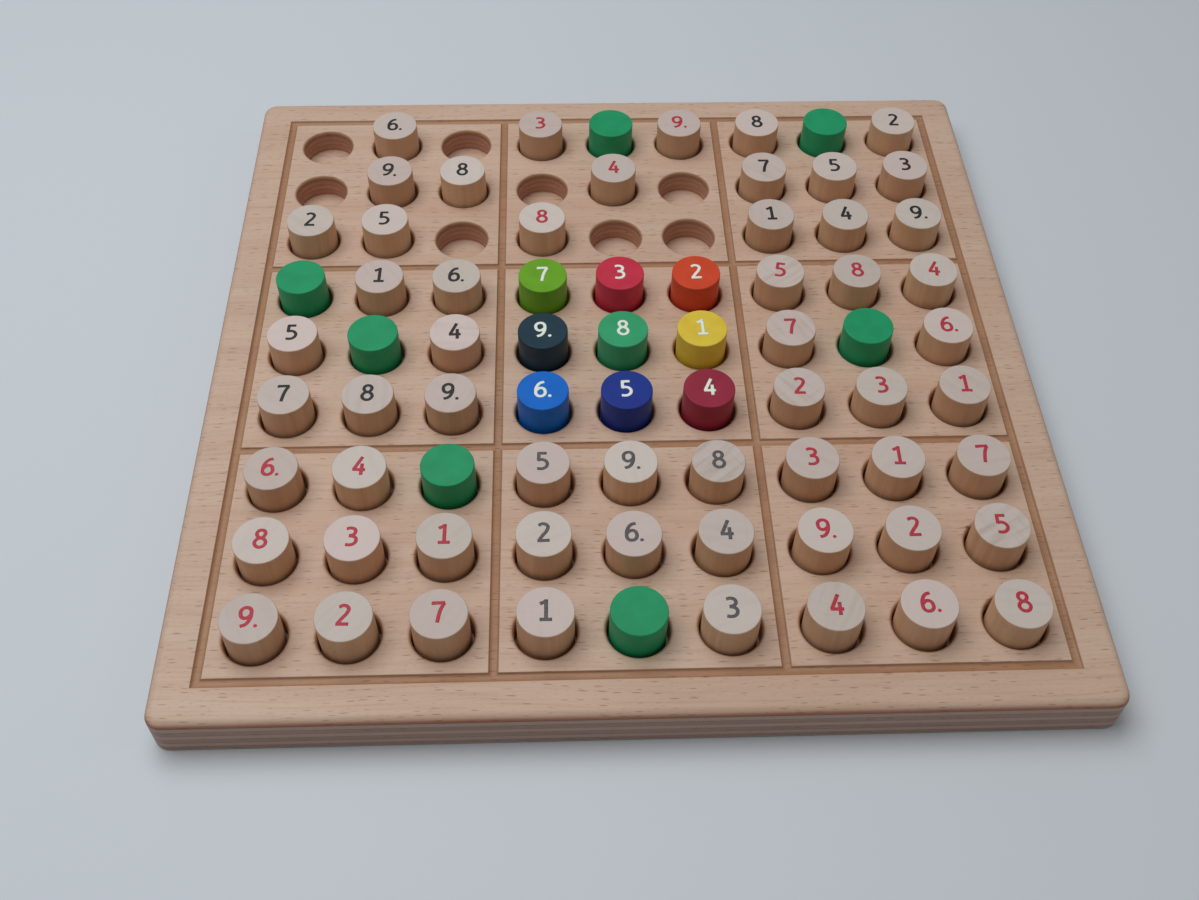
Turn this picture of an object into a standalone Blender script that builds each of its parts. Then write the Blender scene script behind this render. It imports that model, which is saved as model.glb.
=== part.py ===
"""Sudoku peg board: a square multi-ply board with nine by nine blind sockets and round wooden pegs.

The board lies flat with its underside on z = 0 and its centre on the Z axis. Row 1 is the far
row (+Y) and column 1 is the left column (-X). Every peg stands loose in its socket and pulls
straight up. All sizes are in metres.
"""

import math

import bmesh
import bpy

# Board
BOARD_SIDE = 0.296
BOARD_THICKNESS = 0.0155
CORNER_RADIUS = 0.0055
CORNER_SEGMENTS = 5
TOP_EDGE_ROUND = 0.003
TOP_EDGE_SEGMENTS = 3
BOTTOM_EDGE_BREAK = 0.0004

# Grid of sockets: three blocks of three, each way
SOCKET_PITCH = 0.0288
BLOCK_GAP = 0.0317
BLOCK_PITCH = 2 * SOCKET_PITCH + BLOCK_GAP
SOCKET_DIAMETER = 0.0197
SOCKET_DEPTH = 0.0095

# Grooves that part the blocks and frame the grid
GROOVE_WIDTH = 0.003
GROOVE_FLOOR_WIDTH = 0.0013
GROOVE_DEPTH = 0.0011

# Pegs
PEG_DIAMETER = 0.018
PEG_LENGTH = 0.020
PEG_EDGE_BREAK = 0.0004
ROUND_SIDES = 20
SEAT_GAP = 0.0003
FOOT_OVERLAP = 0.0005

# How far a cutter stands out of the face that it cuts
CUTTER_REACH = 0.002

# One letter for each socket, far row first: a dot is empty, n natural, g green blank
LAYOUT = (
    ".n. ngn ngn",
    ".nn .n. nnn",
    "nn. n.. nnn",
    "gnn lrv nnn",
    "ngn pmy ngn",
    "nnn bdw nnn",
    "nng nnn nnn",
    "nnn nnn nnn",
    "nnn ngn nnn",
)
PEG_KINDS = {
    "n": "natural_peg",
    "g": "green_peg",
    "l": "lime_peg",
    "r": "raspberry_peg",
    "v": "vermilion_peg",
    "p": "petrol_peg",
    "m": "leaf_green_peg",
    "y": "yellow_peg",
    "b": "blue_peg",
    "d": "dark_blue_peg",
    "w": "wine_peg",
}

# Finishes: sRGB colour, roughness
FINISHES = {
    "board": ((178, 151, 128), 0.55),
    "natural_peg": ((190, 160, 130), 0.6),
    "green_peg": ((30, 140, 75), 0.4),
    "lime_peg": ((95, 155, 40), 0.4),
    "raspberry_peg": ((195, 45, 70), 0.4),
    "vermilion_peg": ((215, 75, 45), 0.4),
    "petrol_peg": ((35, 65, 78), 0.4),
    "leaf_green_peg": ((55, 150, 95), 0.4),
    "yellow_peg": ((215, 185, 60), 0.4),
    "blue_peg": ((30, 105, 195), 0.4),
    "dark_blue_peg": ((45, 65, 145), 0.4),
    "wine_peg": ((155, 50, 75), 0.4),
}


def clear_scene():
    for item in list(bpy.data.objects):
        bpy.data.objects.remove(item, do_unlink=True)


def linear(channel):
    """One sRGB channel, 0 to 255, as the linear value that a shader takes."""
    value = channel / 255
    if value <= 0.04045:
        return value / 12.92
    return ((value + 0.055) / 1.055) ** 2.4


def finish(name):
    colour, roughness = FINISHES[name]
    material = bpy.data.materials.new(name)
    material.use_nodes = True
    shader = material.node_tree.nodes["Principled BSDF"]
    shader.inputs["Base Color"].default_value = (*[linear(c) for c in colour], 1)
    shader.inputs["Roughness"].default_value = roughness
    shader.inputs["Metallic"].default_value = 0
    return material


def add_object(name, mesh, location=(0, 0, 0)):
    item = bpy.data.objects.new(name, mesh)
    item.location = location
    bpy.context.scene.collection.objects.link(item)
    return item


def mesh_from(name, shape):
    bmesh.ops.recalc_face_normals(shape, faces=shape.faces)
    mesh = bpy.data.meshes.new(name)
    shape.to_mesh(mesh)
    shape.free()
    return mesh


def line_position(index):
    """Distance from the centre line to row or column number 1 to 9, counted along the axis."""
    block, place = divmod(index - 1, 3)
    return (block - 1) * BLOCK_PITCH + (place - 1) * SOCKET_PITCH


def socket_centre(row, column):
    return line_position(column), -line_position(row)


def sockets():
    """Row, column and letter of every socket."""
    for row, line in enumerate(LAYOUT, start=1):
        for column, letter in enumerate(line.replace(" ", ""), start=1):
            yield row, column, letter


def joined_at_foot(row, column, letter):
    """Fourteen inner natural pegs are one with the board, which keeps the model to sixty solids."""
    inner = 2 <= row <= 8 and 2 <= column <= 8
    return letter == "n" and inner and (row + column) % 2 == 0 and (row >= 4 or column >= 7)


def add_cylinder(shape, radius, low, high, centre=(0, 0)):
    """A closed prism with its axis upright, added to shape; returns its faces."""
    rings = []
    for z in (low, high):
        ring = []
        for step in range(ROUND_SIDES):
            angle = math.tau * step / ROUND_SIDES
            x = centre[0] + radius * math.cos(angle)
            y = centre[1] + radius * math.sin(angle)
            ring.append(shape.verts.new((x, y, z)))
        rings.append(ring)
    lower, upper = rings
    faces = [shape.faces.new(reversed(lower)), shape.faces.new(upper)]
    for step in range(ROUND_SIDES):
        after = (step + 1) % ROUND_SIDES
        corners = (lower[step], lower[after], upper[after], upper[step])
        faces.append(shape.faces.new(corners))
    return faces


def add_peg_shape(shape, foot, top, centre=(0, 0)):
    """A dowel with both end edges broken, standing from foot to top."""
    faces = add_cylinder(shape, PEG_DIAMETER / 2, foot, top, centre)
    rims = {edge for face in faces[:2] for edge in face.edges}
    bmesh.ops.bevel(shape, geom=list(rims), offset=PEG_EDGE_BREAK, segments=1, affect="EDGES")


def peg_mesh(name):
    shape = bmesh.new()
    add_peg_shape(shape, 0, PEG_LENGTH)
    mesh = mesh_from(name, shape)
    mesh.materials.append(finish(name))
    mesh.shade_smooth()
    mesh.set_sharp_from_angle(angle=math.radians(30))
    return mesh


def board_blank():
    """The sawn board: rounded corners, rounded top edge, lightly broken bottom edge."""
    shape = bmesh.new()
    bmesh.ops.create_cube(shape, size=1)
    bmesh.ops.scale(shape, vec=(BOARD_SIDE, BOARD_SIDE, BOARD_THICKNESS), verts=shape.verts)
    bmesh.ops.translate(shape, vec=(0, 0, BOARD_THICKNESS / 2), verts=shape.verts)
    upright = [e for e in shape.edges if abs(e.verts[0].co.z - e.verts[1].co.z) > 0.001]
    bmesh.ops.bevel(
        shape, geom=upright, offset=CORNER_RADIUS, segments=CORNER_SEGMENTS,
        profile=0.5, affect="EDGES",
    )
    for height, offset, segments in (
        (BOARD_THICKNESS, TOP_EDGE_ROUND, TOP_EDGE_SEGMENTS),
        (0, BOTTOM_EDGE_BREAK, 1),
    ):
        rim = [e for e in shape.edges if all(abs(v.co.z - height) < 1e-6 for v in e.verts)]
        bmesh.ops.bevel(
            shape, geom=rim, offset=offset, segments=segments, profile=0.5, affect="EDGES",
        )
    return mesh_from("board", shape)


def groove_cutter():
    """Four strips each way, as one plate with square windows and walls that lean outwards."""
    middles = [step * BLOCK_PITCH for step in (-1.5, -0.5, 0.5, 1.5)]
    walls = [(m, side) for m in middles for side in (-1, 1)]
    half = GROOVE_FLOOR_WIDTH / 2
    edges = [m + side * half for m, side in walls]
    floor = BOARD_THICKNESS - GROOVE_DEPTH
    shape = bmesh.new()
    grid = [[shape.verts.new((x, y, floor)) for y in edges] for x in edges]
    for i in range(len(edges) - 1):
        for j in range(len(edges) - 1):
            if i % 2 == 0 or j % 2 == 0:
                corners = (grid[i][j], grid[i + 1][j], grid[i + 1][j + 1], grid[i][j + 1])
                shape.faces.new(corners)
    raised = bmesh.ops.extrude_face_region(shape, geom=shape.faces[:])
    height = GROOVE_DEPTH + CUTTER_REACH
    spread = height / GROOVE_DEPTH * (GROOVE_WIDTH - GROOVE_FLOOR_WIDTH) / 2
    for item in raised["geom"]:
        if isinstance(item, bmesh.types.BMVert):
            item.co.z += height
            for axis in (0, 1):
                middle = min(middles, key=lambda m: abs(m - item.co[axis]))
                item.co[axis] += math.copysign(spread, item.co[axis] - middle)
    return mesh_from("groove_cutter", shape)


def socket_cutter():
    shape = bmesh.new()
    floor = BOARD_THICKNESS - SOCKET_DEPTH
    top = BOARD_THICKNESS + CUTTER_REACH
    for row, column, _ in sockets():
        add_cylinder(shape, SOCKET_DIAMETER / 2, floor, top, socket_centre(row, column))
    return mesh_from("socket_cutter", shape)


def joined_pegs():
    shape = bmesh.new()
    foot = BOARD_THICKNESS - SOCKET_DEPTH - FOOT_OVERLAP
    top = foot + FOOT_OVERLAP + SEAT_GAP + PEG_LENGTH
    for row, column, letter in sockets():
        if joined_at_foot(row, column, letter):
            add_peg_shape(shape, foot, top, socket_centre(row, column))
    return mesh_from("joined_pegs", shape)


def add_tool(board, mesh, operation):
    """A hidden solid that a Boolean modifier takes from the board or adds to it."""
    tool = add_object(mesh.name, mesh)
    tool.hide_render = True
    tool.display_type = "WIRE"
    modifier = board.modifiers.new(mesh.name, "BOOLEAN")
    modifier.object = tool
    modifier.operation = operation
    modifier.solver = "EXACT"


def build_board():
    mesh = board_blank()
    mesh.materials.append(finish("board"))
    board = add_object("board", mesh)
    add_tool(board, groove_cutter(), "DIFFERENCE")
    add_tool(board, socket_cutter(), "DIFFERENCE")
    add_tool(board, joined_pegs(), "UNION")


def build_pegs():
    meshes = {kind: peg_mesh(kind) for kind in PEG_KINDS.values()}
    foot = BOARD_THICKNESS - SOCKET_DEPTH + SEAT_GAP
    for row, column, letter in sockets():
        if letter == "." or joined_at_foot(row, column, letter):
            continue
        kind = PEG_KINDS[letter]
        x, y = socket_centre(row, column)
        add_object(f"{kind}_r{row}c{column}", meshes[kind], (x, y, foot))


def main():
    clear_scene()
    build_board()
    build_pegs()


main()
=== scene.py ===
import bpy
import math
import random
from mathutils import Matrix, Vector


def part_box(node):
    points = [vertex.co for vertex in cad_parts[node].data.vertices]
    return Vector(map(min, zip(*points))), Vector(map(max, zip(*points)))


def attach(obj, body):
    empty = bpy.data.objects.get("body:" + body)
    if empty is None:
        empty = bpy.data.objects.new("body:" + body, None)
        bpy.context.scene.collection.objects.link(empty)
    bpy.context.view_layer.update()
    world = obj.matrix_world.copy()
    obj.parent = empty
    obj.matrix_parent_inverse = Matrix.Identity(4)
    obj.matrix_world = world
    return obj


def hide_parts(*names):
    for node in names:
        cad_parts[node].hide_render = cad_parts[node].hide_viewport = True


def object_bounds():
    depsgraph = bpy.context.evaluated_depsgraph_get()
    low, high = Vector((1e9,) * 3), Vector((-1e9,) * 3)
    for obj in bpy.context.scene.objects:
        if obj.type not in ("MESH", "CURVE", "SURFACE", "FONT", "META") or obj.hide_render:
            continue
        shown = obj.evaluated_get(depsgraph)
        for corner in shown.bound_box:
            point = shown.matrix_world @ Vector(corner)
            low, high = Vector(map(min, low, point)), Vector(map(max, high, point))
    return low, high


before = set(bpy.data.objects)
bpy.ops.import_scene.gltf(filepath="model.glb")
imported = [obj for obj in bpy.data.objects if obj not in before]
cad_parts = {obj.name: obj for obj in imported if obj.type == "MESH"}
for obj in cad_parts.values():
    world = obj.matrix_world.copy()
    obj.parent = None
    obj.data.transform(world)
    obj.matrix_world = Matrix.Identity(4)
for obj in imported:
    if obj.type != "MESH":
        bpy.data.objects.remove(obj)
cad_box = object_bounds()

# ---------------------------------------------------------------- sizes, in metres
board_low, board_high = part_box("board")
BOARD_SIDE = board_high.x - board_low.x
BOARD_TOP = 0.0155
BOARD_THICKNESS = BOARD_TOP - board_low.z
PEG_TOP = cad_box[1].z
PEG_LENGTH = 0.020
PEG_RADIUS = 0.009
PEG_EDGE_ROUND = 0.00042
CORNER_RADIUS = 0.0055
EDGE_ROUND = 0.003
FOOT_EDGE_ROUND = 0.0004
SOCKET_PITCH = 0.0288
BLOCK_PITCH = 0.0893
SOCKET_RADIUS = 0.00985
SOCKET_DEPTH = 0.0095
ROUND_STEPS = 72
RIM_ROUND = 0.00145
GROOVE_WIDTH = 0.003
GROOVE_DEPTH = 0.0011
COVE_RADIUS = 0.0018
COVE_START = math.radians(12)
GROOVE_LINES = [k * BLOCK_PITCH for k in (-1.5, -0.5, 0.5, 1.5)]
PLY_COUNT = 7
NUMERAL_HEIGHT = 0.0077
NUMERAL_RAISED = 0.0005
PEN_WIDTH = 0.158
STROKE_STEP = 0.011  # in the pen strokes' own units, as PEN_WIDTH is
INK_THICKNESS = 0.00003
KNOT = (110.6, -82.0)  # millimetres
# How far a peg may stand off true: lean and turn in degrees, shift in metres.
LOOSE_LEAN = 0.6
LOOSE_TURN = 2.0
LOOSE_SHIFT = 0.0003

# Every place on the board, far row first: an empty socket, a blank green peg,
# or a numeral and the ink or the lacquer that goes with it.
ROWS = (
    "- 6.black - 3.red green 9.red 8.black green 2.black",
    "- 9.black 8.black - 4.red - 7.black 5.black 3.black",
    "2.black 5.black - 8.red - - 1.black 4.black 9.black",
    "green 1.black 6.black 7.lime 3.raspberry 2.vermilion 5.red 8.red 4.red",
    "5.black green 4.black 9.petrol 8.leaf_green 1.yellow 7.red green 6.red",
    "7.black 8.black 9.black 6.blue 5.dark_blue 4.wine 2.red 3.red 1.red",
    "6.red 4.red green 5.grey 9.grey 8.grey 3.red 1.red 7.red",
    "8.red 3.red 1.red 2.grey 6.grey 4.grey 9.red 2.red 5.red",
    "9.red 2.red 7.red 1.grey green 3.grey 4.red 6.red 8.red",
)
INKS = ("black", "red", "grey")
# Pegs that stand turned in their sockets, in degrees to the left.
TURNED = {(4, 7): -14, (4, 9): -7, (2, 2): -5, (7, 2): -4, (1, 9): -3}
# Pegs cut from strongly figured dowel; the others come out calmer.
FIGURED = {(7, 6): 1.0, (6, 7): 0.8, (8, 9): 0.9, (5, 7): 0.7, (4, 7): 0.6}

# Pen strokes of the numerals, one unit tall. A stroke that ends where it began is closed.
SIX = [(0.46, 0.935), (0.27, 0.87), (0.12, 0.66), (0.065, 0.38), (0.12, 0.13), (0.29, 0.06),
       (0.46, 0.15), (0.50, 0.35), (0.41, 0.53), (0.26, 0.56), (0.10, 0.44)]
STROKES = {
    "1": [[(0.32, 1.0), (0.32, 0.03)], [(0.35, 0.93), (0.07, 0.79)],
          [(0.06, 0.06), (0.56, 0.06)]],
    "2": [[(0.07, 0.86), (0.26, 0.94), (0.46, 0.82), (0.43, 0.60), (0.24, 0.33), (0.08, 0.08)],
          [(0.01, 0.06), (0.53, 0.06)]],
    "3": [[(0.07, 0.90), (0.26, 0.94), (0.45, 0.82), (0.40, 0.61), (0.19, 0.535)],
          [(0.19, 0.535), (0.43, 0.46), (0.50, 0.29), (0.40, 0.11), (0.21, 0.06), (0.05, 0.09)]],
    "4": [[(0.37, 0.99), (0.055, 0.28)], [(0.01, 0.285), (0.56, 0.285)],
          [(0.40, 0.62), (0.40, 0.0)]],
    "5": [[(0.49, 0.94), (0.10, 0.94)], [(0.145, 0.99), (0.13, 0.52)],
          [(0.11, 0.555), (0.31, 0.58), (0.49, 0.44), (0.50, 0.24), (0.34, 0.08), (0.06, 0.075)]],
    "6": [SIX],
    "7": [[(0.02, 0.94), (0.54, 0.94)], [(0.51, 0.93), (0.36, 0.60), (0.24, 0.02)],
          [(0.075, 0.99), (0.075, 0.85)]],
    "8": [[(0.28, 0.94), (0.44, 0.85), (0.43, 0.65), (0.28, 0.54), (0.13, 0.65), (0.12, 0.85),
           (0.28, 0.94)],
          [(0.286, 0.53), (0.47, 0.42), (0.50, 0.22), (0.28, 0.06), (0.06, 0.22), (0.09, 0.42),
           (0.286, 0.53)]],
    "9": [[(0.56 - x, 1 - y) for x, y in SIX]],
}
DOT = (0.71, 0.075)
DOT_RADIUS = 0.082


# ---------------------------------------------------------------- the workbench
def put_down_everything():
    """Object mode with nothing selected, so an operator acts only on what comes next."""
    if bpy.context.object and bpy.context.object.mode != "OBJECT":
        bpy.ops.object.mode_set(mode="OBJECT")
    bpy.ops.object.select_all(action="DESELECT")


def take(piece):
    put_down_everything()
    piece.select_set(True)
    bpy.context.view_layer.objects.active = piece


def choose(piece, part, test):
    """Opens edit mode with the faces or edges selected whose corners pass the test."""
    take(piece)
    bpy.ops.object.mode_set(mode="EDIT")
    bpy.ops.mesh.select_mode(type=part)
    bpy.ops.mesh.select_all(action="DESELECT")
    bpy.ops.object.mode_set(mode="OBJECT")
    mesh = piece.data
    for item in (mesh.polygons if part == "FACE" else mesh.edges):
        item.select = test([mesh.vertices[v].co for v in item.vertices])
    bpy.ops.object.mode_set(mode="EDIT")


def settle(piece):
    """Puts the piece's place, turn and scale into its mesh."""
    take(piece)
    bpy.ops.object.transform_apply(location=True, rotation=True, scale=True)


def at_height(z):
    return lambda corners: all(abs(c.z - z) < 1e-6 for c in corners)


def upright(corners):
    return abs(corners[0].z - corners[1].z) > 1e-4


def round_edges(piece, test, radius, segments):
    choose(piece, "EDGE", test)
    bpy.ops.mesh.bevel(offset=radius, segments=segments, profile=0.5, affect="EDGES")
    put_down_everything()


def face_outwards(piece):
    choose(piece, "FACE", lambda corners: True)
    bpy.ops.mesh.remove_doubles(threshold=1e-7)
    bpy.ops.mesh.normals_make_consistent(inside=False)
    put_down_everything()


def raise_rim(step, spread, centre):
    """Extrudes the selected top upwards by a step and spreads the new rim."""
    bpy.ops.mesh.extrude_region_move(TRANSFORM_OT_translate={"value": (0, 0, step)})
    bpy.ops.transform.resize(value=(spread[0], spread[1], 1), center_override=centre)


def cut_with(piece, cutter, operation="DIFFERENCE"):
    """Takes the cutter's shape away from the piece, or welds it on with UNION."""
    take(piece)
    cut = piece.modifiers.new("cut", "BOOLEAN")
    cut.operation = operation
    cut.solver = "EXACT"
    cut.object = cutter
    bpy.ops.object.modifier_apply(modifier=cut.name)
    bpy.data.objects.remove(cutter, do_unlink=True)


def polish(piece, degrees):
    """Smooth over curves, crisp at corners, with flat faces kept flat."""
    take(piece)
    bpy.ops.object.shade_smooth_by_angle(angle=math.radians(degrees))
    even = piece.modifiers.new("even", "WEIGHTED_NORMAL")
    even.keep_sharp = True
    bpy.ops.object.modifier_apply(modifier=even.name)


def copy_of(piece, name):
    take(piece)
    bpy.ops.object.duplicate(linked=False)
    twin = bpy.context.object
    twin.name = name
    return twin


def join_all(parts, name):
    put_down_everything()
    for part in parts:
        part.select_set(True)
    bpy.context.view_layer.objects.active = parts[0]
    bpy.ops.object.join()
    parts[0].name = name
    return parts[0]


def hand_over(piece, material, body, slot, node=None):
    """Gives a finished piece its material, hangs it on the body it moves with, and hides the CAD
    part it stands in for.
    """
    piece.data.materials.clear()
    piece.data.materials.append(material)
    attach(piece, body)
    if node:
        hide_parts(node)


# ---------------------------------------------------------------- the material bench
def srgb(red, green, blue):
    """A paint chip's 0 to 255 values as the colour a shader wants."""
    def linear(v):
        v = v / 255
        return v / 12.92 if v <= 0.04045 else ((v + 0.055) / 1.055) ** 2.4
    return (linear(red), linear(green), linear(blue), 1.0)


class Wire:
    """An output on its way through a material; arithmetic on it adds Math nodes."""

    def __init__(self, mix, socket):
        self.mix = mix
        self.socket = socket

    def maths(self, operation, *values):
        sockets = dict(enumerate(values))
        return self.mix.node("ShaderNodeMath", {"operation": operation}, sockets)

    def __add__(self, other):
        return self.maths("ADD", self, other)

    __radd__ = __add__

    def __sub__(self, other):
        return self.maths("SUBTRACT", self, other)

    def __rsub__(self, other):
        return self.maths("SUBTRACT", other, self)

    def __mul__(self, other):
        return self.maths("MULTIPLY", self, other)

    __rmul__ = __mul__

    def __truediv__(self, other):
        return self.maths("DIVIDE", self, other)

    def __abs__(self):
        return self.maths("ABSOLUTE", self)

    def __mod__(self, other):
        return self.maths("MODULO", self, other)

    def floor(self):
        return self.maths("FLOOR", self)

    def within(self, low, high):
        return self.maths("MINIMUM", self.maths("MAXIMUM", self, low), high)

    def fade(self, start, end, low=0.0, high=1.0):
        """Goes softly from low at start to high at end."""
        return self.mix.node(
            "ShaderNodeMapRange",
            {"interpolation_type": "SMOOTHSTEP"},
            {"Value": self, "From Min": start, "From Max": end, "To Min": low, "To Max": high},
        )


class Finish:
    """One material on the bench."""

    def __init__(self, name):
        self.material = bpy.data.materials.new(name)
        self.material.use_nodes = True
        self.tree = self.material.node_tree
        self.tree.nodes.clear()

    def node(self, kind, settings, sockets, output=0):
        """Adds a node: its settings first, then its sockets' values and links."""
        made = self.tree.nodes.new(kind)
        for key, value in settings.items():
            if key == "stops":
                for stop, (place, colour) in zip(self.stops_of(made, len(value)), value):
                    stop.position = place
                    stop.color = colour
            else:
                setattr(made, key, value)
        for key, value in sockets.items():
            if isinstance(value, Wire):
                self.tree.links.new(value.socket, made.inputs[key])
            else:
                made.inputs[key].default_value = value
        return Wire(self, made.outputs[output])

    @staticmethod
    def stops_of(ramp_node, count):
        stops = ramp_node.color_ramp.elements
        while len(stops) < count:
            stops.new(1.0)
        return stops

    def outputs(self, wire, *names):
        """Other outputs of the node that a wire comes from."""
        node = wire.socket.node
        return [Wire(self, node.outputs[name]) for name in names]

    def place(self):
        """Object coordinates in millimetres."""
        spot = self.node("ShaderNodeTexCoord", {}, {}, "Object")
        return self.stretch(spot, (1000, 1000, 1000))

    def facing(self):
        """The surface's direction as three numbers."""
        normal = self.node("ShaderNodeTexCoord", {}, {}, "Normal")
        return self.split(normal)

    def own(self, name, output="Vector"):
        """One of the piece's own attributes."""
        return self.node("ShaderNodeAttribute", {"attribute_name": name}, {}, output)

    def stretch(self, vector, factors):
        return self.node(
            "ShaderNodeVectorMath", {"operation": "MULTIPLY"}, {0: vector, 1: factors}
        )

    def shift(self, vector, by):
        return self.node("ShaderNodeVectorMath", {"operation": "ADD"}, {0: vector, 1: by})

    def length(self, vector):
        return self.node("ShaderNodeVectorMath", {"operation": "LENGTH"}, {0: vector}, "Value")

    def split(self, vector):
        x = self.node("ShaderNodeSeparateXYZ", {}, {0: vector}, "X")
        return [x] + self.outputs(x, "Y", "Z")

    def vector(self, x, y, z):
        return self.node("ShaderNodeCombineXYZ", {}, {"X": x, "Y": y, "Z": z})

    def cloud(self, vector, detail=2.0, roughness=0.5, warp=0.0):
        """Soft noise; the vector's own scale sets its size."""
        return self.node(
            "ShaderNodeTexNoise",
            {"noise_dimensions": "3D"},
            {"Vector": vector, "Scale": 1.0, "Detail": detail, "Roughness": roughness,
             "Distortion": warp},
        )

    def blend(self, amount, first, second, how="MIX"):
        """From the first colour to the second by the amount."""
        return self.node(
            "ShaderNodeMix",
            {"data_type": "RGBA", "blend_type": how, "clamp_factor": True},
            {0: amount, 6: first, 7: second},
            2,
        )

    def blend_vectors(self, amount, first, second):
        return self.node(
            "ShaderNodeMix", {"data_type": "VECTOR"}, {0: amount, 4: first, 5: second}, 1
        )

    def flecks(self, along, across, pitch, size, share):
        """Ray flecks: thin short dashes along the fibre, one to a cell, some left out."""
        spot = self.vector(along / pitch[0], across / pitch[1], 0.0)
        colour = self.node(
            "ShaderNodeTexVoronoi",
            {"voronoi_dimensions": "2D", "feature": "F1"},
            {"Vector": spot, "Scale": 1.0, "Randomness": 0.95},
            "Color",
        )
        centre, = self.outputs(colour, "Position")
        offset = self.node("ShaderNodeVectorMath", {"operation": "SUBTRACT"}, {0: spot, 1: centre})
        luck, own_length, _ = self.split(colour)
        reach = self.stretch(offset, (pitch[0] / size[0], pitch[1] / size[1], 0))
        dash = self.length(reach)
        body = (dash / (0.55 + 0.9 * own_length)).fade(1.0, 0.35)
        return body * luck.fade(1 - share, 1.15 - share)

    def finish(self, colour, roughness, height=None, bump=0.2, depth=0.0001, **constant):
        """The shader, with varying colour and roughness, and constants on its own sockets."""
        sockets = {"Base Color": colour, "Roughness": roughness}
        if height:
            sockets["Normal"] = self.node(
                "ShaderNodeBump", {}, {"Strength": bump, "Distance": depth, "Height": height},
                "Normal",
            )
        for name, value in constant.items():
            sockets[name.replace("_", " ").title().replace("Ior", "IOR")] = value
        shader = self.node("ShaderNodeBsdfPrincipled", {}, sockets)
        out = self.tree.nodes.new("ShaderNodeOutputMaterial")
        self.tree.links.new(shader.socket, out.inputs["Surface"])
        return self.material


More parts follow.
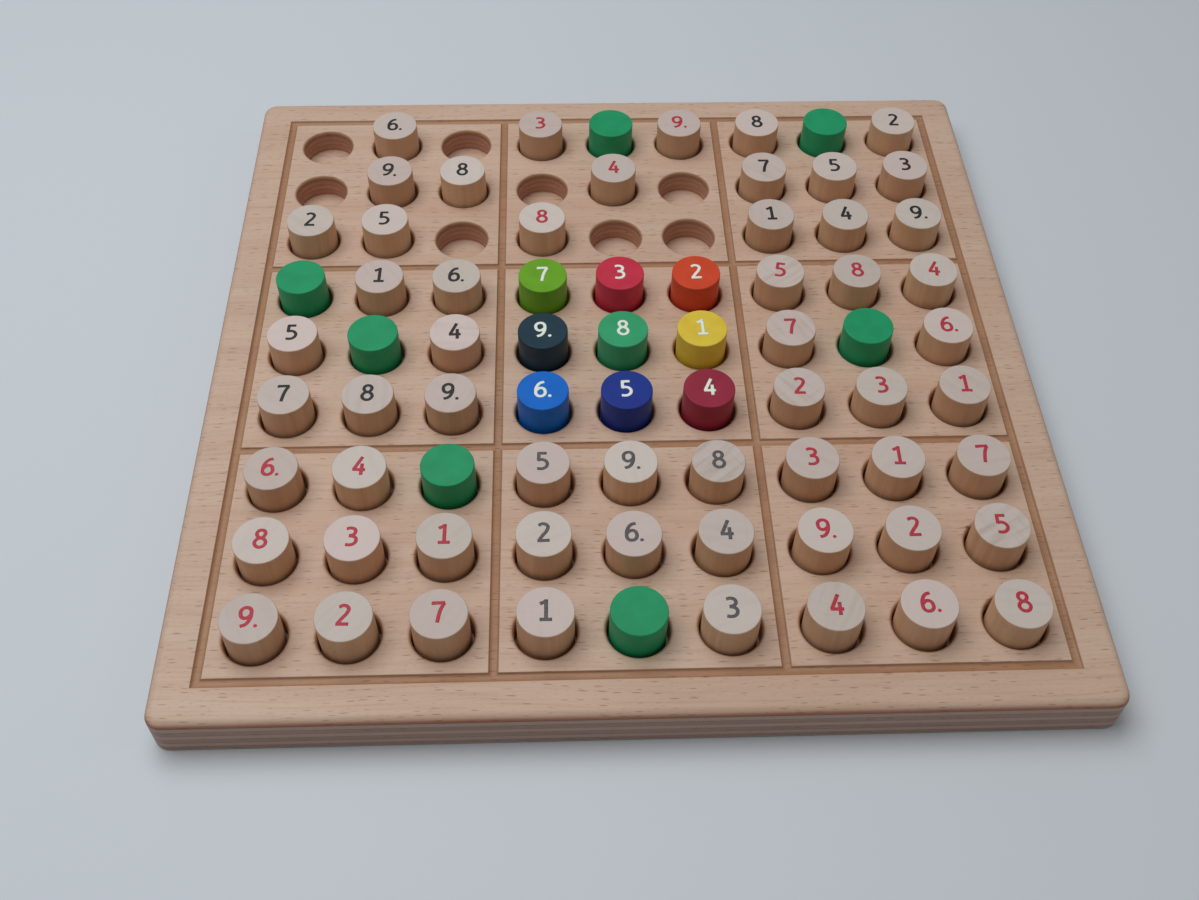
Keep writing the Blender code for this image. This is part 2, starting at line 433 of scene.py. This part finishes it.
def oiled_beech_ply():
    """Cross-laid beech plies: fibres turn with each ply, flecked veneer, darker end grain."""
    wood = Finish("oiled beech ply")
    place = wood.place()
    x, y, z = wood.split(place)
    nx, ny, nz = wood.facing()
    nx, ny, nz = abs(nx), abs(ny), abs(nz)
    sway = wood.cloud(wood.stretch(place, (0.011, 0.016, 0.016)), 1.0) - 0.5
    # Which ply this is, and how far up it.
    ply = PLY_COUNT / (BOARD_THICKNESS * 1000)
    level = z * ply + 0.10 * sway
    number = level.within(0.02, PLY_COUNT - 0.02).floor()
    crosswise = number % 2.0
    along_x = wood.vector(x, y + 9.0 * sway, z)
    along_y = wood.vector(y + 400.0, x + 5.0 * sway, z)
    fibre = wood.blend_vectors(crosswise, along_x, along_y)
    run, side, up = wood.split(fibre)
    end = nx * (1 - crosswise) + ny * crosswise
    end = end.fade(0.45, 0.95)
    # Broad growth bands, fine fibre and two sizes of ray fleck.
    bands = wood.cloud(wood.stretch(fibre, (0.010, 0.085, 0.30)), 2.0, 0.55)
    streaks = wood.cloud(wood.stretch(fibre, (0.030, 0.75, 1.1)), 3.0, 0.6)
    fine = wood.cloud(wood.stretch(fibre, (0.16, 5.0, 5.0)), 2.0, 0.6)
    across = side + up
    long_flecks = wood.flecks(run, across, (5.4, 2.1), (1.6, 0.22), 0.50)
    short_flecks = wood.flecks(run + 37.0, across + 11.0, (3.1, 1.2), (0.8, 0.13), 0.70)
    flecks = long_flecks.maths("MAXIMUM", long_flecks, 0.45 * short_flecks)
    light = srgb(203, 169, 145)
    pale = srgb(211, 181, 158)
    deep = srgb(184, 147, 120)
    fleck_brown = srgb(122, 84, 58)
    face = wood.blend(bands.fade(0.30, 0.72), pale, light)
    face = wood.blend(streaks.fade(0.42, 0.80) * 0.55, face, deep)
    face = wood.blend(fine.fade(0.45, 0.85) * 0.22, face, deep)
    face = wood.blend(flecks * (0.52 - 0.40 * end), face, fleck_brown)
    # End grain drinks the oil: darker, browner, speckled with pores.
    pores = wood.cloud(wood.stretch(fibre, (0.6, 4.5, 4.5)), 3.0, 0.65)
    ends = wood.blend(pores.fade(0.35, 0.70), srgb(206, 178, 158), srgb(176, 146, 128))
    colour = wood.blend(end * 0.80, face, ends)
    # The upper veneer's cut edge is browner, and on the lower part of the round that brown is
    # deepened as painted shade; below it the plies alternate.
    cut_through = (1 - nz).fade(0.18, 0.62)
    depth = BOARD_TOP * 1000 - z
    inside = abs(x).fade(137.5, 136.5) * abs(y).fade(137.5, 136.5)
    outer_edge = cut_through * (1 - inside)
    veneer_edge_and_shade = outer_edge * depth.fade(2.5, 2.2)
    lower = outer_edge * depth.fade(2.2, 2.5)
    colour = wood.blend(veneer_edge_and_shade * 0.85, colour, srgb(200, 138, 98), "MULTIPLY")
    # Below the veneer the plies are darkened and tinted greyish mauve: partly their own colour,
    # partly painted shade and a painted cool cast of floor light.
    colour = wood.blend(lower * (1 - end) * 0.70, colour, srgb(176, 154, 154), "MULTIPLY")
    colour = wood.blend(lower * end * 0.55, colour, srgb(222, 214, 222), "MULTIPLY")
    # Thin glue lines, seen only where the stack is cut through.
    near_glue = abs((level % 1.0) - 0.5).fade(0.40, 0.475)
    colour = wood.blend(near_glue * cut_through * 0.50, colour, srgb(92, 66, 54))
    # Painted highlight: a paler band along the foot of the sides.
    painted_foot_highlight = outer_edge * z.fade(0.9, 0.3)
    colour = wood.blend(painted_foot_highlight * 0.6, colour, srgb(214, 190, 172))
    # Grooves and eased rims are browner than the sanded face, partly the milled wood's own colour
    # and partly painted shade in the hollows; bores are redder.
    milled_and_shade = depth.fade(0.08, 0.45) * depth.fade(2.4, 1.6) * inside
    colour = wood.blend(milled_and_shade * 0.75, colour, srgb(193, 152, 98), "MULTIPLY")
    # The redder bore walls are partly the bored plies' own colour and partly painted shade with
    # painted warm bounce light.
    bored = depth.fade(1.2, 2.4) * inside * cut_through
    colour = wood.blend(bored * 0.55, colour, srgb(235, 172, 140), "MULTIPLY")
    # One small pin knot with its dark streak.
    knot_place = wood.shift(place, (-KNOT[0], -KNOT[1], 0))
    knot_x, knot_y, _ = wood.split(knot_place)
    drawn = wood.vector(knot_x / 5.5, (knot_y - 0.18 * knot_x) / 0.55, 0.0)
    streak = wood.length(drawn)
    pin = wood.vector(knot_x / 1.3, knot_y / 0.75, 0.0)
    core = wood.length(pin)
    knot = streak.maths("MAXIMUM", 0.45 * streak.fade(1.0, 0.2), 0.8 * core.fade(1.0, 0.4))
    colour = wood.blend(knot * depth.fade(2.0, 1.0), colour, srgb(112, 72, 48))
    roughness = 0.47 + 0.10 * streaks + 0.12 * end + 0.05 * flecks
    height = 0.5 * streaks + 0.8 * fine - 0.9 * flecks
    return wood.finish(colour, roughness, height, 0.22, 0.00008)


def natural_dowel():
    """Bare beech dowel: streaks along the sides, pale sanded end grain with faint rings."""
    wood = Finish("natural beech dowel")
    grain = wood.own("grain")
    across, tangent, along = wood.split(grain)
    mood = wood.own("mood")
    tone, figure, warmth = wood.split(mood)
    _, _, nz = wood.facing()
    end = abs(nz).fade(0.55, 0.85)
    rings = wood.cloud(wood.stretch(grain, (0.42, 0.05, 0.010)), 2.0, 0.55)
    rays = wood.cloud(wood.stretch(grain, (0.10, 1.15, 0.030)), 2.0, 0.6)
    fine = wood.cloud(wood.stretch(grain, (3.2, 3.2, 0.10)), 2.0, 0.6)
    flecks = wood.flecks(along, tangent, (4.4, 1.5), (1.3, 0.15), 0.45)
    side = wood.blend(rings.fade(0.32, 0.70), srgb(222, 184, 147), srgb(211, 169, 132))
    side = wood.blend(rays.fade(0.45, 0.85) * 0.22, side, srgb(190, 148, 112))
    side = wood.blend(fine.fade(0.45, 0.80) * 0.15, side, srgb(184, 142, 106))
    side = wood.blend(flecks * 0.22, side, srgb(160, 116, 82))
    side = wood.blend(warmth * 0.35, side, srgb(205, 150, 118))
    pale = wood.blend(warmth, srgb(214, 202, 192), srgb(218, 199, 192))
    dusk = wood.blend(warmth, srgb(176, 164, 145), srgb(186, 160, 148))
    marks = rings.fade(0.40, 0.75) * 0.55 + rays.fade(0.50, 0.85) * 0.45
    ends = wood.blend(marks * figure, pale, dusk)
    pores = wood.cloud(wood.stretch(grain, (5.5, 5.5, 0.5)), 2.0, 0.65)
    ends = wood.blend(pores.fade(0.50, 0.85) * 0.20, ends, srgb(170, 152, 134))
    colour = wood.blend(end, side, ends)
    colour = wood.blend(tone, colour, srgb(196, 188, 178), "MULTIPLY")
    roughness = 0.52 + 0.10 * fine + 0.05 * end
    height = 0.6 * fine + 0.4 * rays - 0.6 * flecks
    return wood.finish(colour, roughness, height, 0.20, 0.00006)


def lacquer(name, top, deep):
    """Satin lacquer over dowel: thin coat over the fibre, a little deeper in the pores."""
    coat = Finish(name)
    grain = coat.own("grain")
    mood = coat.own("mood")
    tone, _, _ = coat.split(mood)
    fibre = coat.cloud(coat.stretch(grain, (1.6, 1.6, 0.05)), 2.0, 0.6)
    pores = coat.cloud(coat.stretch(grain, (5.0, 5.0, 0.35)), 2.0, 0.65)
    drift = coat.cloud(coat.stretch(grain, (0.16, 0.16, 0.16)), 1.0)
    depth = 0.20 * fibre + 0.35 * pores.fade(0.50, 0.80) + 0.35 * drift.fade(0.30, 0.75)
    colour = coat.blend(depth + 0.3 * tone, srgb(*top), srgb(*deep))
    roughness = 0.40 + 0.08 * fibre + 0.05 * drift
    height = 0.5 * fibre + 0.5 * pores
    return coat.finish(colour, roughness, height, 0.16, 0.00005, specular_ior_level=0.22)


def ink(name, body, worn, patchiness):
    """Stamped ink: lies thin over the end grain, so it is mottled."""
    print_ = Finish(name)
    place = print_.place()
    mottle = print_.cloud(print_.stretch(place, (1.7, 1.7, 1.7)), 2.0, 0.6)
    specks = print_.cloud(print_.stretch(place, (6.5, 6.5, 6.5)), 2.0, 0.6)
    thin = mottle.fade(0.42, 0.78) * 0.7 + specks.fade(0.55, 0.80) * 0.5
    colour = print_.blend(thin * patchiness, srgb(*body), srgb(*worn))
    return print_.finish(colour, 0.55 + 0.1 * mottle, specks, 0.12, 0.00003)


def pale_floor():
    """Plain pale studio floor."""
    floor = Finish("pale floor")
    place = floor.place()
    drift = floor.cloud(floor.stretch(place, (0.0012, 0.0012, 0.0012)), 2.0)
    colour = floor.blend(drift, srgb(208, 214, 219), srgb(213, 218, 222))
    return floor.finish(colour, 0.55 + 0.05 * drift)


# ---------------------------------------------------------------- the board
def socket_line(place):
    """Where the centre of a row or column of sockets lies, from 1 to 9, from the middle."""
    block, step = divmod(place - 1, 3)
    return (block - 1) * BLOCK_PITCH + (step - 1) * SOCKET_PITCH


def make_blank():
    """A sanded slab with rounded corners and a generous round along its upper edge."""
    put_down_everything()
    bpy.ops.mesh.primitive_plane_add(size=BOARD_SIDE, location=(0, 0, board_low.z))
    blank = bpy.context.object
    blank.name = "board_fine"
    settle(blank)
    choose(blank, "FACE", lambda corners: True)
    bpy.ops.mesh.extrude_region_move(
        TRANSFORM_OT_translate={"value": (0, 0, BOARD_THICKNESS)}
    )
    face_outwards(blank)
    round_edges(blank, upright, CORNER_RADIUS, 10)
    round_edges(blank, at_height(BOARD_TOP), EDGE_ROUND, 8)
    round_edges(blank, at_height(board_low.z), FOOT_EDGE_ROUND, 2)
    return blank


def make_socket_cutter(x, y):
    """The bored hole with the round that eases its rim, standing a little proud."""
    floor = BOARD_TOP - SOCKET_DEPTH
    straight = SOCKET_DEPTH - RIM_ROUND
    put_down_everything()
    bpy.ops.mesh.primitive_cylinder_add(
        vertices=ROUND_STEPS, radius=SOCKET_RADIUS, depth=straight, end_fill_type="NGON",
        location=(x, y, floor + straight / 2),
    )
    cutter = bpy.context.object
    settle(cutter)
    choose(cutter, "FACE", at_height(floor + straight))
    centre = (x, y, BOARD_TOP)
    height, radius = 0.0, SOCKET_RADIUS
    for degrees in (15, 30, 45, 60, 72, 82):
        turn = math.radians(degrees)
        new_height = RIM_ROUND * math.sin(turn)
        new_radius = SOCKET_RADIUS + RIM_ROUND * (1 - math.cos(turn))
        raise_rim(new_height - height, [new_radius / radius] * 2, centre)
        height, radius = new_height, new_radius
    lift = 0.0001
    flared = radius + lift * math.tan(turn)
    raise_rim(lift, [flared / radius] * 2, centre)
    put_down_everything()
    return cutter


def nearest_line(place):
    return min(GROOVE_LINES, key=lambda line: abs(place - line))


def spread_walls(cutter, height, half_width):
    """Sets the walls at one height to their distance from the groove's middle line."""
    bpy.ops.object.mode_set(mode="OBJECT")
    for vertex in cutter.data.vertices:
        if abs(vertex.co.z - height) < 1e-6:
            for axis in (0, 1):
                line = nearest_line(vertex.co[axis])
                vertex.co[axis] = line + math.copysign(half_width, vertex.co[axis] - line)
    bpy.ops.object.mode_set(mode="EDIT")


def make_groove_cutter():
    """A plate with nine windows whose walls widen upwards like the nose of a cove bit."""
    floor = BOARD_TOP - GROOVE_DEPTH
    put_down_everything()
    bpy.ops.mesh.primitive_grid_add(
        x_subdivisions=7, y_subdivisions=7, size=2, location=(0, 0, floor)
    )
    cutter = bpy.context.object
    settle(cutter)
    for vertex in cutter.data.vertices:
        for axis in (0, 1):
            wall = round((vertex.co[axis] + 1) * 3.5)
            vertex.co[axis] = GROOVE_LINES[wall // 2] + (wall % 2 - 0.5) * GROOVE_WIDTH

    def window(corners):
        middle = sum(corners, Vector()) / len(corners)
        return all(abs(middle[a] - nearest_line(middle[a])) > GROOVE_WIDTH for a in (0, 1))

    choose(cutter, "FACE", window)
    bpy.ops.mesh.delete(type="FACE")
    choose(cutter, "FACE", lambda corners: True)
    spread_walls(cutter, floor, COVE_RADIUS * math.sin(COVE_START))
    half = GROOVE_WIDTH / 2
    rings = []
    for degrees in (22, 32, 42, 50):
        turn = math.radians(degrees)
        rise = COVE_RADIUS * (math.cos(COVE_START) - math.cos(turn))
        rings.append((rise, COVE_RADIUS * math.sin(turn)))
    rings += [(GROOVE_DEPTH - 0.00015, half), (GROOVE_DEPTH - 0.00005, half + 0.00010)]
    rings += [(GROOVE_DEPTH + 0.0001, half + 0.0003)]
    height = 0.0
    for new_height, half_width in rings:
        raise_rim(new_height - height, (1, 1), (0, 0, 0))
        height = new_height
        spread_walls(cutter, floor + height, half_width)
    put_down_everything()
    face_outwards(cutter)
    return cutter


def make_board():
    board = make_blank()
    cut_with(board, make_groove_cutter())
    first = make_socket_cutter(0, 0)
    bores = []
    for row in range(1, 10):
        for column in range(1, 10):
            bore = copy_of(first, "bore")
            bore.location = (socket_line(column), -socket_line(row), 0)
            settle(bore)
            bores.append(bore)
    bpy.data.objects.remove(first, do_unlink=True)
    cut_with(board, join_all(bores, "bores"))
    face_outwards(board)
    polish(board, 38)
    return board


# ---------------------------------------------------------------- pegs and numerals
def make_peg():
    """A dowel length standing on the origin, with its two rims eased."""
    put_down_everything()
    bpy.ops.mesh.primitive_cylinder_add(
        vertices=ROUND_STEPS, radius=PEG_RADIUS, depth=PEG_LENGTH, end_fill_type="NGON",
        location=(0, 0, PEG_LENGTH / 2),
    )
    peg = bpy.context.object
    peg.name = "peg pattern"
    settle(peg)
    round_edges(peg, at_height(PEG_LENGTH), PEG_EDGE_ROUND, 3)
    round_edges(peg, at_height(0), PEG_EDGE_ROUND, 3)
    polish(peg, 42)
    return peg


def pen_stroke(points):
    """One stroke of a round pen, as a closed tube along a smooth curve."""
    closed = points[0] == points[-1]
    if closed:
        points = points[:-1]
    path = bpy.data.curves.new("stroke", "CURVE")
    path.dimensions = "3D"
    path.resolution_u = 7
    path.bevel_depth = PEN_WIDTH / 2
    path.bevel_resolution = 2
    path.use_fill_caps = True
    spline = path.splines.new("BEZIER")
    spline.bezier_points.add(len(points) - 1)
    spline.use_cyclic_u = closed
    for knot, (x, y) in zip(spline.bezier_points, points):
        knot.co = (x, y, 0)
        knot.handle_left_type = "AUTO"
        knot.handle_right_type = "AUTO"
    stroke = bpy.data.objects.new("stroke", path)
    bpy.context.collection.objects.link(stroke)
    take(stroke)
    bpy.ops.object.convert(target="MESH")
    face_outwards(stroke)
    return stroke


def make_numeral(text):
    """A numeral as a thin film of ink on top of a peg that stands on the origin."""
    strokes = [pen_stroke(points) for points in STROKES[text]]
    if text in "69":
        put_down_everything()
        bpy.ops.mesh.primitive_cylinder_add(
            vertices=24, radius=DOT_RADIUS, depth=PEN_WIDTH, end_fill_type="NGON",
            location=(*DOT, 0),
        )
        dot = bpy.context.object
        settle(dot)
        round_edges(dot, lambda corners: not upright(corners), 0.03, 2)
        strokes.append(dot)
    # Each stroke lies a hair over the one before, so that no two share a plane.
    for step, stroke in enumerate(strokes):
        stroke.location.z = step * STROKE_STEP
        settle(stroke)
    numeral = strokes[0]
    for stroke in strokes[1:]:
        cut_with(numeral, stroke, "UNION")
    numeral.name = "numeral pattern"
    xs = [v.co.x for v in numeral.data.vertices]
    ys = [v.co.y for v in numeral.data.vertices]
    size = NUMERAL_HEIGHT / (max(ys) - min(ys))
    numeral.scale = (size, size, INK_THICKNESS / (PEN_WIDTH / 2))
    numeral.location = (
        -size * (max(xs) + min(xs)) / 2,
        -size * (max(ys) + min(ys)) / 2 + NUMERAL_RAISED,
        PEG_LENGTH,
    )
    settle(numeral)
    return numeral


def stand(piece, foot, lean, turn):
    """Stands a piece on its socket floor with its own slight lean and turn."""
    piece.location = foot
    piece.rotation_euler = (lean[0], lean[1], math.radians(turn))
    settle(piece)


def write_grain(peg, foot, dice, figure, warmth, tone):
    """Where in the tree this dowel was cut, and how pale, figured and warm it came out."""
    spin = Matrix.Rotation(dice.uniform(0, 2 * math.pi), 3, "Z")
    wander = Vector((dice.uniform(-90, 90), dice.uniform(-90, 90), dice.uniform(-400, 400)))
    grain = peg.data.attributes.new("grain", "FLOAT_VECTOR", "POINT")
    mood = peg.data.attributes.new("mood", "FLOAT_VECTOR", "POINT")
    for vertex in peg.data.vertices:
        local = spin @ ((vertex.co - foot) * 1000)
        grain.data[vertex.index].vector = local + wander
        mood.data[vertex.index].vector = (tone, figure, warmth)


# ---------------------------------------------------------------- build it
dowel_wood = natural_dowel()
lacquers = {
    "green": lacquer("green lacquer", (34, 160, 106), (24, 138, 88)),
    "lime": lacquer("lime lacquer", (112, 174, 36), (98, 154, 26)),
    "raspberry": lacquer("raspberry lacquer", (210, 54, 78), (188, 38, 62)),
    "vermilion": lacquer("vermilion lacquer", (220, 78, 42), (200, 62, 30)),
    "petrol": lacquer("petrol lacquer", (30, 62, 76), (20, 46, 58)),
    "leaf_green": lacquer("leaf green lacquer", (56, 170, 116), (44, 150, 98)),
    "yellow": lacquer("yellow lacquer", (234, 206, 72), (214, 178, 40)),
    "blue": lacquer("blue lacquer", (4, 112, 212), (2, 92, 188)),
    "dark_blue": lacquer("dark blue lacquer", (28, 56, 150), (20, 44, 126)),
    "wine": lacquer("wine lacquer", (160, 46, 70), (140, 30, 52)),
}
inks = {
    "black": ink("black ink", (22, 22, 24), (58, 56, 56), 0.7),
    "red": ink("red ink", (186, 28, 52), (206, 92, 104), 0.8),
    "grey": ink("grey ink", (78, 74, 76), (128, 122, 120), 0.9),
    "white": ink("white ink", (240, 246, 232), (214, 222, 206), 0.6),
}

board = make_board()
hand_over(board, oiled_beech_ply(), "board", "beech_ply", "board")

peg_pattern = make_peg()
numeral_patterns = {}
dice = random.Random(81)
for row, line in enumerate(ROWS, start=1):
    for column, entry in enumerate(line.split(), start=1):
        if entry == "-":
            continue
        place = f"r{row}c{column}"
        text, _, kind = entry.rpartition(".")
        natural = kind in INKS
        look = "natural" if natural else kind
        node = f"{look}_peg_{place}"
        own_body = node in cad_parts
        lean = [math.radians(dice.uniform(-LOOSE_LEAN, LOOSE_LEAN)) for _ in range(2)]
        shift = [dice.uniform(-LOOSE_SHIFT, LOOSE_SHIFT) for _ in range(2)]
        turn = TURNED.get((row, column), 0) + dice.uniform(-LOOSE_TURN, LOOSE_TURN)
        foot = Vector((
            socket_line(column) + shift[0], -socket_line(row) + shift[1], PEG_TOP - PEG_LENGTH
        ))
        peg = copy_of(peg_pattern, f"{look}_dowel_{place}")
        stand(peg, foot, lean, turn)
        figure = FIGURED.get((row, column), dice.uniform(0.15, 0.45))
        write_grain(peg, foot, dice, figure, dice.uniform(0, 1), dice.uniform(0, 0.35))
        body = f"peg_{place}" if own_body else "board"
        if natural:
            hand_over(peg, dowel_wood, body, "beech_dowel", node if own_body else None)
        else:
            hand_over(peg, lacquers[kind], body, kind + "_lacquer", node)
        if not text:
            continue
        if text not in numeral_patterns:
            numeral_patterns[text] = make_numeral(text)
        colour = kind if natural else "white"
        numeral = copy_of(numeral_patterns[text], f"numeral_{text}_{place}")
        stand(numeral, foot, lean, turn)
        hand_over(numeral, inks[colour], body, colour + "_ink")

for pattern in [peg_pattern, *numeral_patterns.values()]:
    bpy.data.objects.remove(pattern, do_unlink=True)

# ---------------------------------------------------------------- floor, lights, camera
put_down_everything()
bpy.ops.mesh.primitive_plane_add(size=9, location=(0, 0, -0.0002))
floor = bpy.context.object
floor.name = "floor"
floor.data.materials.append(pale_floor())


def soft_light(name, place, size, power, tint):
    put_down_everything()
    bpy.ops.object.light_add(type="AREA", location=place)
    light = bpy.context.object
    light.name = name
    light.data.shape = "RECTANGLE"
    light.data.size, light.data.size_y = size
    light.data.energy = power
    light.data.color = tint
    light.rotation_euler = (-Vector(place)).to_track_quat("-Z", "Y").to_euler()


soft_light("window", (-0.30, 0.16, 1.00), (1.0, 0.8), 7.9, (0.96, 0.98, 1.0))
soft_light("lamp", (1.30, -0.10, 0.80), (0.8, 0.8), 1.0, (1.0, 0.78, 0.52))
world = bpy.data.worlds.new("room")
world.use_nodes = True
world.node_tree.nodes["Background"].inputs["Color"].default_value = (0.86, 0.90, 0.95, 1)
world.node_tree.nodes["Background"].inputs["Strength"].default_value = 0.24
bpy.context.scene.world = world
bpy.context.scene.view_settings.view_transform = "Standard"

bpy.ops.object.camera_add(
    location=(-0.0233, -0.3329, 0.3723),
    rotation=[math.radians(a) for a in (38.741, -0.714, -1.811)],
)
camera = bpy.context.object
camera.name = "camera"
camera.data.lens = 40.0
camera.data.sensor_width = 36.0
camera.data.clip_start = 0.01
bpy.context.scene.camera = camera
